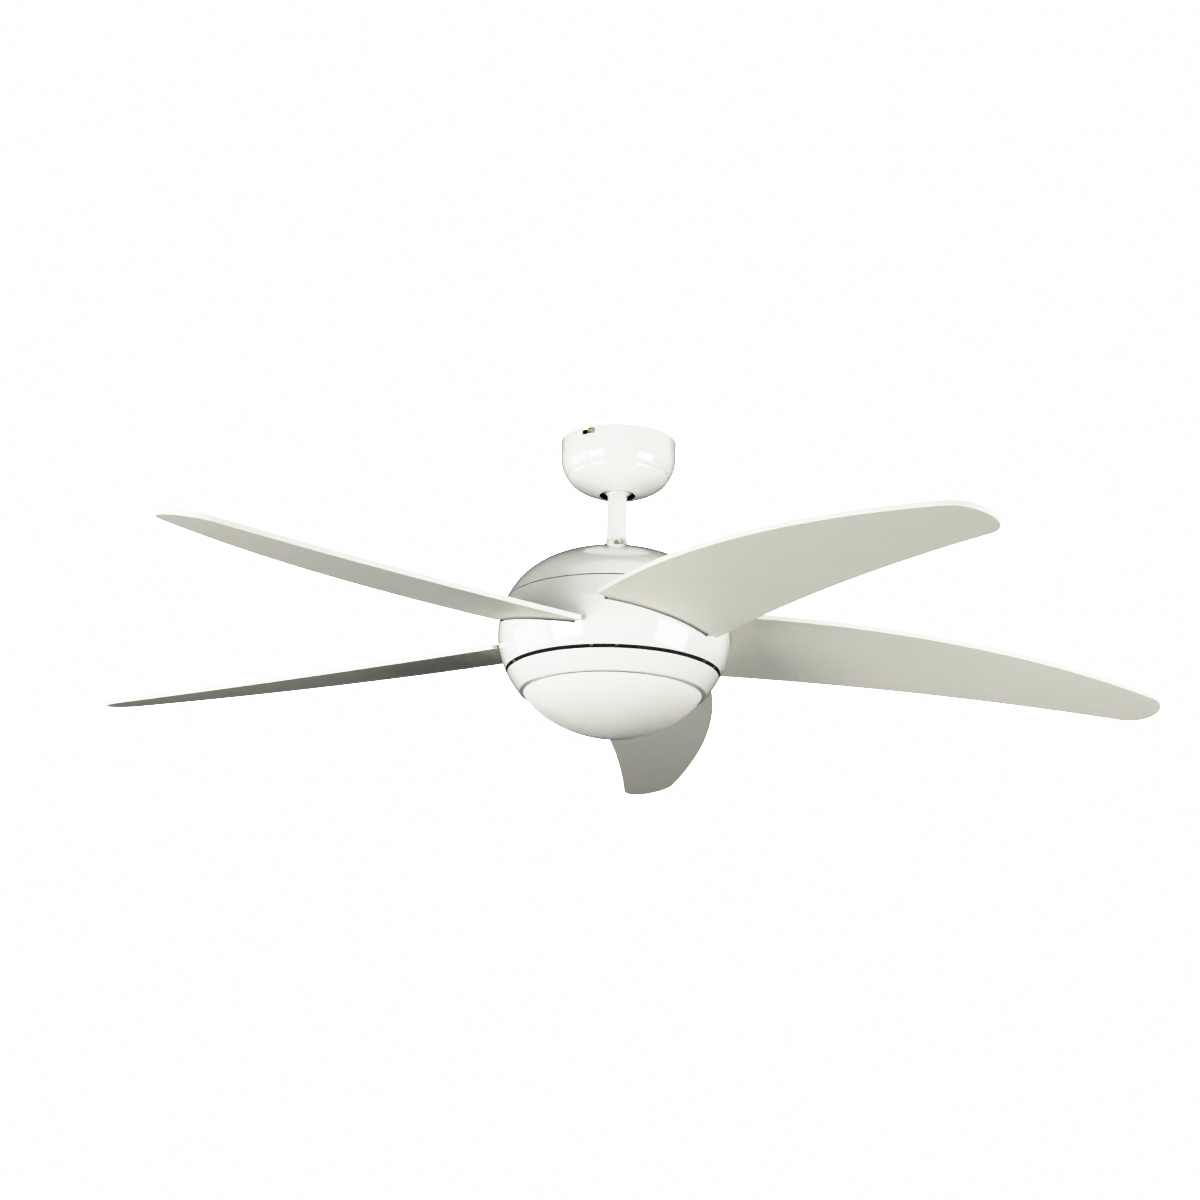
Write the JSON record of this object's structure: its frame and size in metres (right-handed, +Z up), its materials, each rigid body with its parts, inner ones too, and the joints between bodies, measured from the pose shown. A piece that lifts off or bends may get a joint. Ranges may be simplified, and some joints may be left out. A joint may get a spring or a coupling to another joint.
{
  "type": "ceiling fan with light",
  "caption": "White ceiling fan with sabre-shaped blades passing through a rounded turning housing, a short downrod with domed canopy, and an opal glass bowl light beneath.",
  "frame": {"origin": "centre of the hanger bracket's top face, on the ceiling plane", "axes": "+Z up, square to the ceiling and along the downrod; +X along the first blade; the fan hangs below z = 0"},
  "size_m": [1.2395, 1.249, 0.3488],
  "materials": {
    "gloss_white_paint": "gloss white powder coat over sheet steel",
    "white_nylon": "satin white moulded nylon",
    "blade_lacquer": "matte white lacquer on fibreboard, cream sealed edges",
    "opal_glass": "matte etched opal glass",
    "lamp_glass": "frosted white lamp bulb",
    "zinc_steel": "zinc-plated pressed steel",
    "screw_steel": "nickel-plated steel",
    "brass_screw": "yellow zinc and brass",
    "black_steel": "matte black paint over steel",
    "ground_steel": "ground bearing steel",
    "laminations": "stacked electrical steel, varnished",
    "copper_wire": "enamelled copper wire",
    "cast_aluminium": "die-cast aluminium",
    "white_plastic": "moulded white plastic and glazed ceramic",
    "black_plastic": "moulded black plastic",
    "cable_sheath": "soft flexible cable sheath"
  },
  "bodies": {
    "ceiling_mount": {"hanger_bracket": "black_steel", "canopy": "gloss_white_paint", "canopy_screws": "brass_screw", "receiver_box": "white_plastic", "terminal_block": "white_plastic", "mains_lead": "cable_sheath", "fan_lead_upper": "cable_sheath"},
    "stem": {"hanger_ball": "white_nylon", "ball_pin": "screw_steel", "ball_set_screw": "black_steel", "downrod": "gloss_white_paint", "fan_lead_lower": "cable_sheath", "yoke": "gloss_white_paint", "yoke_pin": "screw_steel", "hairpin_clip": "screw_steel", "yoke_set_screw": "brass_screw", "yoke_cover": "gloss_white_paint", "motor_shaft": "ground_steel", "stator_core": "laminations", "stator_windings": "copper_wire", "bearing_inner_races": "ground_steel", "bearing_balls": "ground_steel", "kit_coupling": "zinc_steel", "shaft_nut": "screw_steel", "light_pan": "gloss_white_paint", "pan_screws": "screw_steel", "capacitor": "black_plastic", "reverse_switch": "black_plastic", "lampholder_bracket": "zinc_steel", "lampholder_1": "white_plastic", "lampholder_2": "white_plastic", "lamp_cap_1": "brass_screw", "lamp_cap_2": "brass_screw", "lamp_globe_1": "lamp_glass", "lamp_globe_2": "lamp_glass"},
    "rotor": {"bearing_outer_races": "ground_steel", "rotor_ring": "laminations", "motor_upper_cover": "cast_aluminium", "motor_lower_cover": "cast_aluminium", "motor_screws": "screw_steel", "blade_bracket_1": "zinc_steel", "blade_bracket_2": "zinc_steel", "blade_bracket_3": "zinc_steel", "blade_bracket_4": "zinc_steel", "blade_bracket_5": "zinc_steel", "bracket_screws": "screw_steel", "blade_1": "blade_lacquer", "blade_2": "blade_lacquer", "blade_3": "blade_lacquer", "blade_4": "blade_lacquer", "blade_5": "blade_lacquer", "blade_screws": "screw_steel", "upper_housing": "gloss_white_paint", "slotted_housing": "gloss_white_paint", "housing_screws": "brass_screw", "base_plate": "black_steel", "plate_standoffs": "zinc_steel"},
    "shade": {"shade_ring": "zinc_steel", "glass_shade": "opal_glass"},
    "reverse_slider": {"reverse_knob": "white_plastic"}
  },
  "joints": [
    {"name": "hanger_swing", "type": "hinge", "parent": "ceiling_mount", "child": "stem", "pos_m": [0, 0, -0.042], "axis": [1, 0, 0], "range_deg": [-12, 12]},
    {"name": "rotor_spin", "type": "hinge", "parent": "stem", "child": "rotor", "pos_m": [0, 0, -0.19], "axis": [0, 0, 1], "continuous": true},
    {"name": "shade_twist", "type": "hinge", "parent": "stem", "child": "shade", "pos_m": [0, 0, -0.2985], "axis": [0, 0, 1], "range_deg": [0, 25]},
    {"name": "reverse_slide", "type": "slide", "parent": "stem", "child": "reverse_slider", "axis": [1, 0, 0], "range_m": [0, 0.006]}
  ]
}
